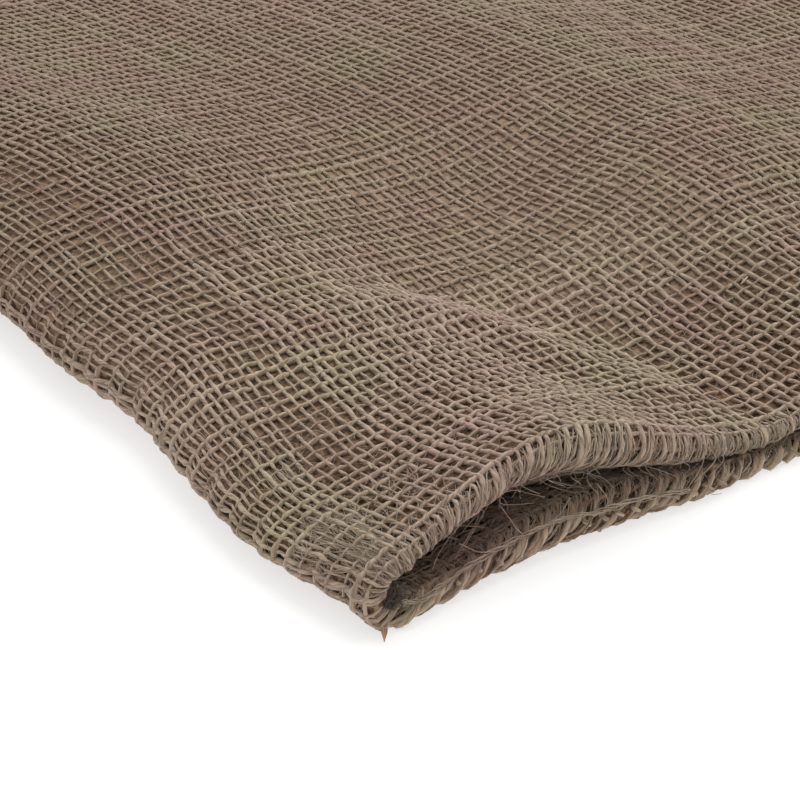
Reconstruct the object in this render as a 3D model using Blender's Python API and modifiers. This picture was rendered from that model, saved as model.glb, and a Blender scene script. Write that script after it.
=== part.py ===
"""A small open-weave jute sack, lying flat with its mouth a little agape.

One length of cloth is folded along the sack's left side and closed along its right side and its
far end. Its top is turned in all round the mouth, so the mouth shows a soft roll over a roll.

Plan: X runs along the mouth, Y from the mouth to the closed end, Z up from the surface that the
sack lies on. The origin is the middle of the bottom. Sizes in the tables are millimetres from the
near left corner, and heights are those of the middle of the cloth's thickness.
"""

import bmesh
import bpy
from math import cos, pi, radians, sin, sqrt

MM = 0.001

# Driving sizes, in millimetres
WIDTH = 300.0            # along the mouth
LENGTH = 400.0           # from the mouth to the closed end
CLOTH = 1.4              # thickness where two yarns cross
TURN_IN = 60.0           # how deep the top is turned into the mouth
SIDE_ROUND = 14.0        # width over which a side rounds down from the top
SIDE_FOLD = 1.6          # radius of the turned-in top at the two sides of the mouth
END_ROUND = 2.0          # radius of the closed end
FLAP_DROP = 3.6          # how far the turned-in top hangs below the upper wall
FLAP_LIFT = 2.3          # how far it lies above the lower wall
SAG_START = 6.0          # distance from the mouth over which its sag begins
SETTLE = 28.0            # distance from the mouth over which it settles
FADE = 40.0              # distance over which the waviness of an end of the sack dies out
FOLD_LEVEL = 0.4         # where a side's fold lies, from the lower wall (0) to the upper one (1)
FLOOR_Z = CLOTH / 2      # the lower wall's height

# The upper wall's folds: a row for each section across the sack, with the height of the left
# shoulder, then place and height of the ridge, the valley, the hump, the dip and the swell,
# then the height of the right shoulder.
SHOULDER_IN = 12.0       # distance of a shoulder from its side
SECTIONS = (
    # y, shoulder_z, ridge_x, ridge_z, valley_x, valley_z, hump_x, hump_z, dip_x, dip_z,
    # swell_x, swell_z, far_shoulder_z
    (0, 12.6, 43, 21.0, 91, 7.2, 138, 17.5, 222, 9.0, 262, 10.8, 9.8),
    (12, 11.7, 45, 19.2, 91, 7.6, 137, 17.0, 222, 9.2, 262, 11.0, 10.0),
    (25, 10.6, 46, 17.6, 91, 8.6, 135, 16.4, 220, 9.4, 262, 11.4, 10.2),
    (50, 12.2, 44, 14.8, 89, 8.6, 137, 17.3, 218, 10.0, 262, 12.0, 10.4),
    (77, 13.9, 42, 15.8, 90, 9.2, 145, 20.0, 216, 11.0, 262, 12.8, 10.6),
    (105, 14.6, 41, 18.2, 95, 11.2, 149, 20.6, 214, 11.8, 262, 13.4, 10.6),
    (150, 15.0, 46, 21.0, 98, 15.0, 155, 20.2, 212, 12.2, 263, 14.0, 10.4),
    (215, 12.6, 50, 17.0, 101, 13.0, 160, 17.4, 215, 11.4, 264, 13.0, 9.6),
    (290, 9.6, 58, 12.4, 110, 10.0, 165, 12.8, 220, 9.2, 262, 10.4, 8.0),
    (355, 6.4, 62, 8.2, 115, 6.8, 170, 8.4, 222, 6.4, 260, 7.0, 5.8),
    (398, 4.7, 64, 4.7, 118, 4.7, 172, 4.7, 222, 4.7, 260, 4.7, 4.7),
)

# The mouth's rolls: a row for each place along the mouth, with the radius of the upper and of the
# lower roll, how far the turned-in top sags behind the upper roll, and how far the front of the
# lower and of the upper roll lie back from a straight line.
MOUTH = (
    # x, upper_r, lower_r, sag, lower_back, upper_back
    (0, 1.5, 1.5, 0.0, 0.0, 0.0),
    (9, 2.0, 2.0, 0.0, 1.2, 1.6),
    (25, 2.8, 2.8, 2.2, 3.0, 3.4),
    (40, 3.0, 3.1, 4.6, 3.4, 4.4),
    (56, 2.7, 2.6, 3.6, 2.2, 3.4),
    (70, 1.8, 1.8, 0.8, 1.2, 2.0),
    (88, 1.15, 1.15, 0.0, 2.0, 2.2),
    (135, 2.0, 2.0, 0.0, 1.0, 2.0),
    (180, 1.7, 1.7, 0.0, 2.6, 3.2),
    (222, 1.2, 1.2, 0.0, 1.4, 1.6),
    (262, 1.5, 1.5, 0.0, 2.2, 2.4),
    (300, 1.3, 1.3, 0.0, 0.6, 0.6),
)

# The sides in plan: how far each lies in from a straight line, at places along the sack.
SIDES = (
    # y, left_in, right_in
    (0, 2.6, 1.5),
    (30, 0.0, 0.6),
    (52, 2.6, 0.0),
    (80, 7.0, 1.4),
    (101, 6.4, 3.0),
    (128, 8.6, 3.6),
    (190, 5.4, 2.2),
    (270, 2.0, 0.4),
    (350, 1.4, 2.0),
    (400, 3.0, 3.2),
)

# The closed end in plan: how far it lies in from a straight line, at places across the sack.
CLOSED_END = (
    # x, end_in
    (0, 3.4),
    (40, 0.6),
    (105, 2.4),
    (170, 0.0),
    (235, 1.6),
    (275, 0.4),
    (300, 2.8),
)

# Where the net of the surface has its lines
SIDE_ANGLES = (0.0, 26.0, 47.0, 68.0)                  # degrees round a side
ACROSS = (14, 24, 33, 42, 51, 60, 69, 79, 89, 99, 109, 121, 135, 150, 168, 188, 208, 228,
          248, 268, 286)                               # from the left side
ALONG_FLAP = (TURN_IN, 44, 30, 19, 10, 5)              # from the mouth
ROLL_ANGLES = (180.0, 144.0, 108.0, 72.0, 36.0)        # degrees round the mouth's roll
ALONG_WALL = (0, 7, 14, 23, 34, 46, 58, 70, 84, 100, 118, 136, 155, 180, 210, 245, 280, 315,
              345, 370, 388)                           # from the mouth
END_ANGLES = (0.0, 30.0, 60.0, 90.0)                   # degrees round the closed end


def smooth_curve(places, values, at):
    """Value at a place on the smooth curve through the points, level where it turns."""
    if at <= places[0]:
        return values[0]
    if at >= places[-1]:
        return values[-1]
    slopes = [
        (values[i + 1] - values[i]) / (places[i + 1] - places[i])
        for i in range(len(places) - 1)
    ]
    tangents = [slopes[0]]
    for before, after in zip(slopes, slopes[1:]):
        turns = before * after <= 0
        tangents.append(0.0 if turns else 2 * before * after / (before + after))
    tangents.append(slopes[-1])
    i = max(k for k in range(len(places) - 1) if places[k] <= at)
    span = places[i + 1] - places[i]
    t = (at - places[i]) / span
    return (
        values[i] * (2 * t**3 - 3 * t**2 + 1)
        + tangents[i] * span * (t**3 - 2 * t**2 + t)
        + values[i + 1] * (3 * t**2 - 2 * t**3)
        + tangents[i + 1] * span * (t**3 - t**2)
    )


def table_row(table, at):
    """The table's columns at a place, read smoothly between its rows."""
    places = [row[0] for row in table]
    return [smooth_curve(places, column, at) for column in list(zip(*table))[1:]]


def ease(t):
    """0 to 1, level at both ends."""
    t = min(max(t, 0.0), 1.0)
    return t * t * (3 - 2 * t)


def upper_height(x, y):
    """Height of the upper wall, before its sides round down."""
    (shoulder, ridge_x, ridge, valley_x, valley, hump_x, hump,
     dip_x, dip, swell_x, swell, far_shoulder) = table_row(SECTIONS, y)
    places = (SHOULDER_IN, ridge_x, valley_x, hump_x, dip_x, swell_x, WIDTH - SHOULDER_IN)
    heights = (shoulder, ridge, valley, hump, dip, swell, far_shoulder)
    return smooth_curve(places, heights, x)


def side_rounding(distance):
    """0 at a side and 1 where the wall is past its rounding."""
    t = min(distance / SIDE_ROUND, 1.0)
    return sqrt(1 - (1 - t) ** 2)


def stations():
    """Distances across the sack from its left side, closer together round the sides."""
    left = [SIDE_ROUND * (1 - cos(radians(angle))) for angle in SIDE_ANGLES]
    return left + list(ACROSS) + [WIDTH - distance for distance in reversed(left)]


def cloth_point(station, upper, y_along, fold, end):
    """A point of the cloth.

    station is the distance across, y_along the distance from the mouth, fold the angle round the
    mouth's roll (0 on the outer wall, 180 on the turned-in top) and end the angle round the closed
    end (0 to 90).
    """
    upper_r, lower_r, sag, lower_back, upper_back = table_row(MOUTH, station)
    side = side_rounding(min(station, WIDTH - station))
    roll_r = upper_r if upper else lower_r
    roll_r = SIDE_FOLD + (roll_r - SIDE_FOLD) * side
    back = upper_back if upper else lower_back
    back = lower_back + (back - lower_back) * side
    turned = (1 - cos(radians(fold))) / 2
    near_mouth = 1 - ease(y_along / FADE)
    near_end = ease((y_along - LENGTH + FADE) / FADE)
    (end_in,) = table_row(CLOSED_END, station)
    y = y_along + (back + roll_r * (1 - sin(radians(fold)))) * near_mouth - end_in * near_end

    left_in, right_in = table_row(SIDES, y)
    inset = 2 * SIDE_FOLD * turned
    left = left_in + inset
    right = WIDTH - right_in - inset
    x = left + (right - left) * station / WIDTH

    settled = ease(y_along / SETTLE)
    drop = 2 * upper_r + (FLAP_DROP - 2 * upper_r) * settled
    drop = drop + sag * ease(y_along / SAG_START) * (1 - ease((y_along - SAG_START) / SETTLE))
    lift = 2 * lower_r + (FLAP_LIFT - 2 * lower_r) * settled
    top = upper_height(x, y) - drop * turned
    bottom = FLOOR_Z + lift * turned
    middle = bottom + (top - bottom) * FOLD_LEVEL
    reach = min(side, cos(radians(end)))
    z = middle + ((top if upper else bottom) - middle) * reach
    return x - WIDTH / 2, y - LENGTH / 2, z


def rows():
    """The rows of the net: distance from the mouth, angle round its roll, angle round the end."""
    flap = [(y, 180.0, 0.0) for y in ALONG_FLAP]
    roll = [(0.0, angle, 0.0) for angle in ROLL_ANGLES]
    wall = [(y, 0.0, 0.0) for y in ALONG_WALL]
    end = [(LENGTH - END_ROUND * (1 - sin(radians(angle))), 0.0, angle) for angle in END_ANGLES]
    return flap + roll + wall + end


def cloth_surface():
    """The middle of the cloth: a net bent into a pouch whose top is turned in."""
    across = stations()
    count = len(across)
    around = [(s, True) for s in across] + [(s, False) for s in across[-2:0:-1]]
    around = around + [around[0]]
    along = rows()
    net = bmesh.new()
    bmesh.ops.create_grid(
        net, x_segments=len(around) - 1, y_segments=len(along) - 1, size=0.5
    )
    net.verts.ensure_lookup_table()
    for vertex in net.verts:
        i = round((vertex.co.x + 0.5) * (len(around) - 1))
        j = round((vertex.co.y + 0.5) * (len(along) - 1))
        station, upper = around[i]
        point = cloth_point(station, upper, *along[j])
        vertex.co = [value * MM for value in point]
    bmesh.ops.remove_doubles(net, verts=net.verts, dist=1e-6)
    bmesh.ops.recalc_face_normals(net, faces=net.faces)
    return net


def jute():
    """Dry, unbleached jute."""
    material = bpy.data.materials.new("jute")
    material.use_nodes = True
    shader = material.node_tree.nodes["Principled BSDF"]
    shader.inputs["Base Color"].default_value = (0.27, 0.20, 0.14, 1)
    shader.inputs["Roughness"].default_value = 0.95
    shader.inputs["Metallic"].default_value = 0.0
    return material


def main():
    for item in list(bpy.data.objects):
        bpy.data.objects.remove(item)
    collection = bpy.data.collections.new("jute_sack")
    bpy.context.scene.collection.children.link(collection)

    mesh = bpy.data.meshes.new("sack_cloth")
    net = cloth_surface()
    net.to_mesh(mesh)
    net.free()
    mesh.shade_smooth()
    mesh.materials.append(jute())
    sack = bpy.data.objects.new("sack_cloth", mesh)
    collection.objects.link(sack)

    wall = sack.modifiers.new("cloth thickness", "SOLIDIFY")
    wall.thickness = CLOTH * MM
    wall.offset = 0.0
    wall.use_even_offset = True


main()
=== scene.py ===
"""The looks of a small open-weave jute sack that lies flat with its mouth a little agape.

The sack is one cloth. Its yarns are modelled one by one, woven over and under each other along the
cloth's folds. The fuzz, the loose ends and the twine of the closing seams lie on them.

Sizes are millimetres until a mesh is written. A place on the cloth is given by two distances. The
first, across, runs round the sack from its left fold: it is positive on the upper wall and negative
on the lower one. The second, along, runs from the middle of the mouth's fold: it is positive on the
outer walls and negative in the turned-in top.
"""

from math import ceil, floor, pi, radians

import bmesh
import bpy
import numpy as np
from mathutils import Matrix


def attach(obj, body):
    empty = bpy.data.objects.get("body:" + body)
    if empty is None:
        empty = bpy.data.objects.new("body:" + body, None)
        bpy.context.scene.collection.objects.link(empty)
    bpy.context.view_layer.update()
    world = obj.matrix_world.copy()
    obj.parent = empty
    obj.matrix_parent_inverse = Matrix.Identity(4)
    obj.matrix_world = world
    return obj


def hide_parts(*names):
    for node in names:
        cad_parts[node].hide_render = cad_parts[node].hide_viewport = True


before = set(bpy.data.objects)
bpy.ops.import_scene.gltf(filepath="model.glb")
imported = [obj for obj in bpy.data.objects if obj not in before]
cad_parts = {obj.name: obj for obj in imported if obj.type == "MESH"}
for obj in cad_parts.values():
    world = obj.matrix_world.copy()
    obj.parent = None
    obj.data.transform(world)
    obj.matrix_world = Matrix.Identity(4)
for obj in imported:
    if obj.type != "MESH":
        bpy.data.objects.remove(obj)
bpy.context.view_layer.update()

bl_info = {
    "name": "Jute sack",
    "version": (1, 0, 0),
    "blender": (4, 5, 0),
    "location": "3D Viewport > Sidebar > Jute sack",
    "description": "Weaves a jute sack's yarns along its folds, with fuzz, seams and a stage",
    "category": "Object",
}

MM = 0.001
NODE = "sack_cloth"
BODY = "root"

# ---- The cloth's shape, from the near left corner: the solid's own sizes and tables ----
WIDTH = 300.0            # along the mouth
LENGTH = 400.0           # from the mouth to the closed end
TURN_IN = 62.0           # how deep the top is turned in, from the middle of the mouth's fold
SIDE_ROUND = 14.0        # width over which a side rounds down from the top
SIDE_FOLD = 1.6          # radius of the turned-in top at the two sides of the mouth
END_ROUND = 2.0          # radius of the closed end
FLAP_DROP = 3.6          # how far the turned-in top hangs below the upper wall
FLAP_LIFT = 2.3          # how far it lies above the lower wall
SAG_START = 6.0          # distance from the mouth over which its sag begins
SETTLE = 28.0            # distance from the mouth over which it settles
FADE = 40.0              # distance over which the waviness of an end of the sack dies out
FOLD_LEVEL = 0.4         # where a side's fold lies, from the lower wall (0) to the upper one (1)
FLOOR_Z = 0.75           # the lower wall's middle
SHOULDER_IN = 12.0       # distance of a shoulder from its side

SECTIONS = (
    # y, shoulder_z, ridge_x, ridge_z, valley_x, valley_z, hump_x, hump_z, dip_x, dip_z,
    # swell_x, swell_z, far_shoulder_z
    (0, 12.6, 43, 21.0, 91, 7.2, 138, 17.5, 222, 9.0, 262, 10.8, 9.8),
    (12, 11.7, 45, 19.2, 91, 7.6, 137, 17.0, 222, 9.2, 262, 11.0, 10.0),
    (25, 10.6, 46, 17.6, 91, 8.6, 135, 16.4, 220, 9.4, 262, 11.4, 10.2),
    (50, 12.2, 44, 14.8, 89, 8.6, 137, 17.3, 218, 10.0, 262, 12.0, 10.4),
    (77, 13.9, 42, 15.8, 90, 9.2, 145, 20.0, 216, 11.0, 262, 12.8, 10.6),
    (105, 14.6, 41, 18.2, 95, 11.2, 149, 20.6, 214, 11.8, 262, 13.4, 10.6),
    (150, 15.0, 46, 21.0, 98, 15.0, 155, 20.2, 212, 12.2, 263, 14.0, 10.4),
    (215, 12.6, 50, 17.0, 101, 13.0, 160, 17.4, 215, 11.4, 264, 13.0, 9.6),
    (290, 9.6, 58, 12.4, 110, 10.0, 165, 12.8, 220, 9.2, 262, 10.4, 8.0),
    (355, 6.4, 62, 8.2, 115, 6.8, 170, 8.4, 222, 6.4, 260, 7.0, 5.8),
    (398, 4.7, 64, 4.7, 118, 4.7, 172, 4.7, 222, 4.7, 260, 4.7, 4.7),
)
MOUTH = (
    # x, upper_r, lower_r, sag, lower_back, upper_back
    (0, 1.4, 1.4, 0.0, 0.0, 0.0),
    (9, 1.7, 1.7, 0.0, 1.2, 1.6),
    (25, 2.8, 2.8, 2.2, 3.0, 3.4),
    (40, 3.0, 3.1, 4.6, 3.4, 4.4),
    (56, 2.7, 2.6, 3.6, 2.2, 3.4),
    (70, 1.8, 1.8, 0.8, 1.2, 2.0),
    (88, 1.15, 1.15, 0.0, 2.0, 2.2),
    (135, 2.0, 2.0, 0.0, 1.0, 2.0),
    (180, 1.7, 1.7, 0.0, 2.6, 3.2),
    (222, 1.2, 1.2, 0.0, 1.4, 1.6),
    (262, 1.5, 1.5, 0.0, 2.2, 2.4),
    (300, 1.3, 1.3, 0.0, 0.6, 0.6),
)
SIDES = (
    # y, left_in, right_in
    (0, 2.6, 1.5),
    (30, 0.0, 0.6),
    (52, 2.6, 0.0),
    (80, 7.0, 1.4),
    (101, 6.4, 3.0),
    (128, 8.6, 3.6),
    (190, 5.4, 2.2),
    (270, 2.0, 0.4),
    (350, 1.4, 2.0),
    (400, 3.0, 3.2),
)
CLOSED_END = (
    # x, end_in
    (0, 3.4),
    (40, 0.6),
    (105, 2.4),
    (170, 0.0),
    (235, 1.6),
    (275, 0.4),
    (300, 2.8),
)

# Soft creases and swellings of the upper wall that are too low for the solid
CREASES = (
    # x, y, direction in degrees from the mouth, length, width, height
    (22, 40, 62, 30, 5, 0.7),
    (12, 78, 80, 24, 4, -0.8),
    (66, 30, 20, 34, 7, -0.7),
    (80, 23, 97, 18, 6, 0.8),
    (91, 25, 97, 18, 6, -0.7),
    (73, 48, 110, 16, 6, 1.2),
    (84, 53, 110, 15, 6, -1.1),
    (64, 66, 132, 14, 6, 1.1),
    (73, 74, 132, 14, 6, -1.2),
    (44, 72, 175, 20, 6, 0.3),
    (46, 83, 175, 22, 7, -0.5),
    (126, 44, 70, 26, 6, 0.7),
    (34, 140, 48, 38, 7, -0.8),
    (150, 92, 20, 40, 8, 0.7),
    (205, 120, 60, 60, 10, 1.0),
    (110, 230, 100, 70, 12, 1.1),
    (240, 260, 40, 70, 12, -1.0),
    (60, 310, 75, 60, 11, 0.9),
)

# The bulges of the left fold, and the slanted rope-like bunches of yarns on the rolls
SCALLOP_PITCH = 8.0
SCALLOP_HEIGHT = 0.9
SCALLOP_WIDTH = 7.0      # from the fold line
BUNCH_PITCH = 4.2
BUNCH_HEIGHT = 1.7
BUNCH_DRAW = 0.80        # how far the yarns of a bunch draw together
BUNCH_UNEVEN = 0.9       # how far bunches stray from even
BUNCH_WAVES = (3.7, 9.1) # and over what distances
UPPER_SWELL = 0.05       # how much thicker the yarns are on the upper roll, as a share
LOWER_SWELL = 0.40       # and on the lower roll
UPPER_SINK = 0.75        # how far the yarns along the upper roll sink in behind them
LOWER_SINK = 0.60        # and along the lower roll
UPPER_BUNCH = 0.15       # how much the upper roll's bunches bulge, as a share of the lower roll's
UPPER_DRAW = 0.4         # how much its yarns draw together, as a share of the lower roll's
SKEW = 0.75              # sideways run of the yarns for each millimetre round a roll
SKEW_END = 35.0          # depth in the turned-in top at which they run straight again
INSIDE_SHADE_FROM = 1.75       # angle round a roll at which painted shade begins to darken the cloth
INSIDE_SHADE_TO = 2.6          # and at which the painted shade is full
DENTS = (                # the near corner's hollow, and the foot below it that reaches out
    # x, y, z, how wide each way, how far the cloth moves each way
    (6.2, 1.7, 5.3, 3.0, 5.0, 3.0, 3.6, 4.8, 0.0),
    (5.5, 2.0, 1.0, 4.5, 4.5, 4.5, -1.92, -2.56, -1.6),
)
FILLED_AT_FOLD = 0.4     # how far the finest fibres fill the weave's holes at the left fold
FILLED_ACROSS = (15, 75) # distances from that fold over which they come to fill them wholly
FILLED_ALONG = (20, 80)  # and from the mouth, where they don't fill them at all

# ---- The weave ----
END_ALONG = LENGTH + (pi / 2 - 1) * END_ROUND

SIDE_RISE = 6.5          # how far the cloth rises and falls where a side rounds down
WARP_SPACING = (         # of the yarns that run from the mouth to the closed end
    # across, spacing
    (0, 1.20), (7, 1.50), (14, 1.85), (24, 2.10), (51, 2.00), (78, 2.40), (106, 2.05),
    (138, 2.20), (170, 2.35), (300, 2.30),
)
WEFT_SPACING = (         # of the yarns that run round the sack
    # along, spacing
    (0, 2.6), (9, 3.1), (24, 3.5), (55, 3.35), (88, 3.65), (104, 3.8), (127, 3.9),
    (180, 3.9), (400, 3.45),
)
UNEVENNESS = (           # how a yarn wanders and swells along its run
    # wavelength, sideways, share of its thickness
    (2.7, 0.03, 0.15),
    (6.5, 0.06, 0.13),
    (17.0, 0.10, 0.10),
    (47.0, 0.14, 0.08),
    (121.0, 0.22, 0.04),
)
SWELL_PACE = 1.7         # how much quicker it swells and thins than it wanders
SPACING_SPREAD = 0.13    # millimetres, one standard deviation
THICKNESS_SPREAD = 0.22  # share of the thickness, one standard deviation
NEAT_AT_FOLD = 0.8       # how much neater the yarns lie at a fold, as a share
FILLED_SWELL = 0.30      # how much thicker the yarns are where fibres fill the holes, as a share
STREAK_SHIFT = 997.0     # distance between two yarns' places in the streaks' pattern
SEED = 21

WEAVES = (
    # name, sides of a yarn, points from one crossing to the next on the yarns from the mouth to
    # the end and on those round the sack, areas of the cloth: each across from, across to, along
    # from, along to
    ("weave_near_corner", 6, 3, 3, ((-16, 62, -8, 105),)),
    ("weave_mouth_middle", 6, 3, 3, ((62, 118, -8, 80),)),
    ("weave_mouth_right", 6, 3, 3, ((118, 178, -8, 60),)),
    ("weave_lower_roll", 6, 3, 3, ((-178, -16, -8, 14),)),
    ("weave_mouth_far", 4, 2, 2, ((178, WIDTH, -8, 14), (-WIDTH, -178, -8, 14))),
    ("weave_between", 4, 2, 2, ((-16, 62, 105, 165), (62, 118, 80, 130), (118, 178, 60, 100))),
    ("weave_top_left", 4, 1, 1, ((-16, 62, 165, END_ALONG), (62, 118, 130, END_ALONG))),
    ("weave_top_right", 4, 1, 1, ((118, 178, 100, END_ALONG), (178, WIDTH, 14, END_ALONG))),
    ("weave_under_left", 4, 0.5, 0.25, ((-150, -16, 14, END_ALONG),)),
    ("weave_under_right", 4, 0.5, 0.25, ((-286, -150, 14, END_ALONG),)),
    ("weave_under_edge", 4, 1, 1, ((-WIDTH, -286, 14, END_ALONG),)),
    ("weave_turned_in", 4, 1, 1, ((-WIDTH, WIDTH, -30, -8),)),
)

# ---- Fuzz, loose ends, flecks and seams ----
# The haze: a thin sheet of fine fibres behind the yarns, kept dark as painted shade of the cloth's
# deeper layers seen through the holes
HAZE_DEPTH = 0.72        # below the cloth's middle, on its inner side, near the mouth
HAZE_FAR_DEPTH = 0.34    # the same where the fibres fill the holes
HAZE_NEAR_FOLD = 12.0    # distance from the left fold within which it lies less deep
HAZE_FOLD_RISE = 0.6     # and how much less at the fold, as a share
HAZE_STEPS = (           # across and along: a place, and the step from it to the next
    ("haze_mouth", ((-WIDTH, 1.5), (-200, 1.1), (200, 1.5), (WIDTH, 0)), ((-16, 1.0), (8, 0))),
    ("haze_turned_in", ((-WIDTH, 4.0), (WIDTH, 0)), ((-TURN_IN, 4.0), (-16, 0))),
    ("haze_walls", ((-WIDTH, 7.0), (-15, 1.6), (15, 3.6), (WIDTH, 0)), ((8, 3.2), (END_ALONG, 0))),
)
FUZZ = (
    # across from and to, along from and to, fibres, direction (0 is along the mouth) and its
    # spread in degrees, shortest, longest, lift, thickness, waviness
    (-8, 62, -4, 150, 2300, 0, 180, 0.7, 3.4, 0.25, 0.07, 0.0),
    (-6, 40, -3, 50, 500, 0, 180, 1.0, 5.0, 0.15, 0.08, 0.2),
    (62, 118, -4, 120, 2000, 0, 180, 0.7, 3.4, 0.25, 0.08, 0.0),
    (118, 178, -4, 90, 1500, 0, 180, 0.7, 3.4, 0.25, 0.08, 0.0),
    (-178, -5, -8, 3, 2600, 0, 180, 0.7, 3.0, 0.25, 0.09, 0.0),
    (-5, 300, 100, 400, 1700, 0, 180, 0.7, 3.4, 0.25, 0.08, 0.0),
    (178, 300, -4, 100, 900, 0, 180, 0.7, 3.4, 0.25, 0.08, 0.0),
    (4, 178, -6, 2, 1900, 90, 20, 2.0, 6.0, 0.05, 0.15, 0.1),
    (-178, -4, -6, 4, 1500, 90, 16, 3.0, 8.0, 0.04, 0.19, 0.1),
    (-10, 13, -2, 60, 220, 90, 9, 4.0, 9.0, 0.03, 0.13, 0.1),
    (3, 24, 2, 24, 110, 70, 22, 5.0, 13.0, 0.05, 0.13, 0.2),
    (30, 178, -8, -3.5, 900, 10, 35, 2.0, 5.0, 0.10, 0.11, 0.1),
)
CORNER_FIBRES = (        # the same columns, for thicker ones
    (-10, 10, -5, 22, 760, 90, 10, 3.0, 8.0, 0.02, 0.17, 0.1),
)
ROLL_FIBRES = (          # the same columns: they go round the rolls, between the yarns
    (12, 178, -5, 2.5, 560, 90, 9, 5.0, 9.0, 0.0, 0.31, 0.06),
    (-178, -12, -3, 5, 260, 90, 9, 5.0, 9.0, 0.0, 0.31, 0.06),
)
MOUTH_FIBRES = (         # the same columns: they lie along the mouth, inside it
    (6, 120, -18, -4, 240, 0, 12, 8.0, 26.0, 0.06, 0.24, 0.26),
    (-120, -6, -20, -4, 260, 0, 12, 8.0, 26.0, 0.06, 0.32, 0.26),
    (-178, -120, -14, -4, 60, 0, 12, 8.0, 20.0, 0.05, 0.28, 0.26),
)
FIBRE_DEPTH = -0.35      # of the lowest fibres' roots, from the cloth's middle
FUZZ_HEIGHT = 0.42       # of the highest ones
LOOSE_YARN = (           # lies along the lower roll: x, y and z
    (8.5, 0.5, 4.5), (12.0, 0.1, 4.1), (16.3, 0.7, 4.6), (21.1, 1.5, 5.2), (29.9, 2.6, 6.0),
    (42.7, 2.8, 6.3), (50.7, 2.0, 5.6), (59.1, 1.6, 4.9), (69.4, 0.9, 3.4),
)
LOOSE_STRANDS = 9        # it has opened up into these
LOOSE_SHARE = 0.28       # of the usual thickness, each of them
LOOSE_APART = 0.50       # how far they lie from its middle
STRAYS = (               # fibres that hang in the mouth: three points each, then the thickness
    ((30.4, 3.7, 13.0), (31.5, 1.5, 10.0), (34.0, 2.2, 7.0), 0.16),
    ((50.3, 3.0, 10.4), (51.6, 1.6, 7.2), (50.6, 2.4, 4.4), 0.16),
    ((72.1, 1.9, 11.7), (74.4, 0.2, 8.2), (70.2, 0.8, 4.6), 0.20),
    ((73.6, 1.6, 11.2), (71.0, 0.2, 7.4), (69.0, 0.9, 4.0), 0.16),
    ((76.3, 2.1, 10.0), (76.9, 0.8, 7.0), (74.0, 1.2, 4.2), 0.16),
    ((20.0, 1.0, 11.0), (22.5, -0.8, 9.4), (26.5, 0.2, 7.6), 0.14),
    ((44.0, 2.4, 10.2), (40.0, 0.6, 9.0), (36.5, 1.6, 7.0), 0.14),
)
HANGING = 90             # more of them, placed at random
HANGING_ACROSS = (18, 110)
HANGING_ALONG = (-6, -1)
HANGING_LENGTH = (2.5, 9.0)
HANGING_DROP = 0.45      # how far they bend down, as a share of their length
FLECKS = (               # straw caught in the weave: across, along, length, direction
    (40.2, 66.0, 2.4, 25), (39.0, 67.2, 1.4, 60), (116.8, 41.0, 2.6, 15), (21.0, 28.0, 2.2, 70),
    (97.0, 62.0, 1.6, 140), (160.0, 150.0, 2.0, 35), (230.0, 90.0, 2.2, 110),
)
FLECK_RADIUS = 0.24
TUFT = ((6.4, 3.4, 2.2), (4.6, 0.3, 1.4), (3.3, -1.7, 0.7))     # the corner's bunch of ends
TUFT_FIBRES = 34
TUFT_SPREAD = (0.51, 0.272, 0.034)          # of the fibres at its three points
TUFT_RADII = (0.12, 0.04)                   # of a fibre at its two ends
TANGLE = (7.5, 2.1, 4.9, 1.7, 1.0, 1.9)     # the dark tangle: x, y, z and its half sizes
TANGLE_FIBRES = 110
TANGLE_RADIUS = 0.07
SEAM_PITCH = 6.0
SEAMS = (                # of twine, that goes round a closed edge in slanted stitches
    # start and end, each across and along, the way out, how far in from the edge the middle of the
    # stitches lies, and how far they reach from there: out, and up and down
    ((WIDTH, 3.0), (WIDTH, END_ALONG - 1.0), (1.0, 0.0, 0.0), 0.3, 1.2, 1.9),
    ((WIDTH - 3.0, END_ALONG), (3.0, END_ALONG), (0.0, 1.0, 0.0), 2.0, 2.9, 2.7),
)

SHADES = {               # of small pieces: light fibres, dark fibres, how much more is light
    # the mouth's fibres: colours darkened as painted shade, for they lie in the turned-in top
    "jute_mouth_fibres_in_shade": ((0.31, 0.205, 0.13), (0.09, 0.054, 0.031), 0.0),
    "jute_tangle": ((0.13, 0.070, 0.040), (0.018, 0.009, 0.005), -0.1),
    "jute_tuft": ((0.66, 0.42, 0.25), (0.38, 0.21, 0.11), 0.3),
    "straw": ((0.52, 0.43, 0.30), (0.36, 0.27, 0.17), 0.2),
}

# ---- Materials and stage ----
RUN_UV = 0.01            # UV distance for each millimetre along a yarn
STREAK_TWIST = 1.1       # turn of the streaks of fibres round a yarn, in radians a millimetre
STREAK_LENGTH = 0.4      # how drawn out they are along it: less is longer
STREAK_CONTRAST = 4.6
SHADE_PACE = 0.035       # how quickly a yarn's own shade changes along it
STREAK_OFFSET = -2.15    # brings the streaks and the shade together back to the blend's range
FAINT_FROM = 0.06        # distance from the near corner from which the streaks become fainter
FAINT_TO = 0.20          # and at which they are faintest, in metres
FAINTEST = 0.4           # as a share of their contrast near the corner
BLEND_MIDDLE = 0.45      # of the light fibres with the dark ones, near the corner
BLEND_FAR_SHADE = 0.20      # how much darker the blend would be if the streaks were gone: painted shade of the far cloth
HUE_SWING = 0.11         # between the patches that lean to green and those that lean to red
HUE_MIDDLE = 0.5
HUE_PATCHES = 48.0       # of them to a metre, roughly
HAZE_MOTTLES = 900.0     # of the haze's mottles to a metre, roughly
HAZE_STOPS = (0.35, 0.70)                   # the mottling where it is darkest and lightest
HAZE_SHADE_SHARES = ((0.22, 1.3), (0.60, 1.10))   # of its colour there, its darkness partly painted shade: in open and in filled holes
FLOOR_GLOW = 0.62        # the floor's own light, which keeps the shadows faint
SKY = 0.72               # light from all round
KEY_PLACE = (1.2, 0.6, 1.9)
KEY_TURN = (-15, 31, 0)
KEY_SIZE = 2.4
KEY_POWER = 43.0

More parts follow.
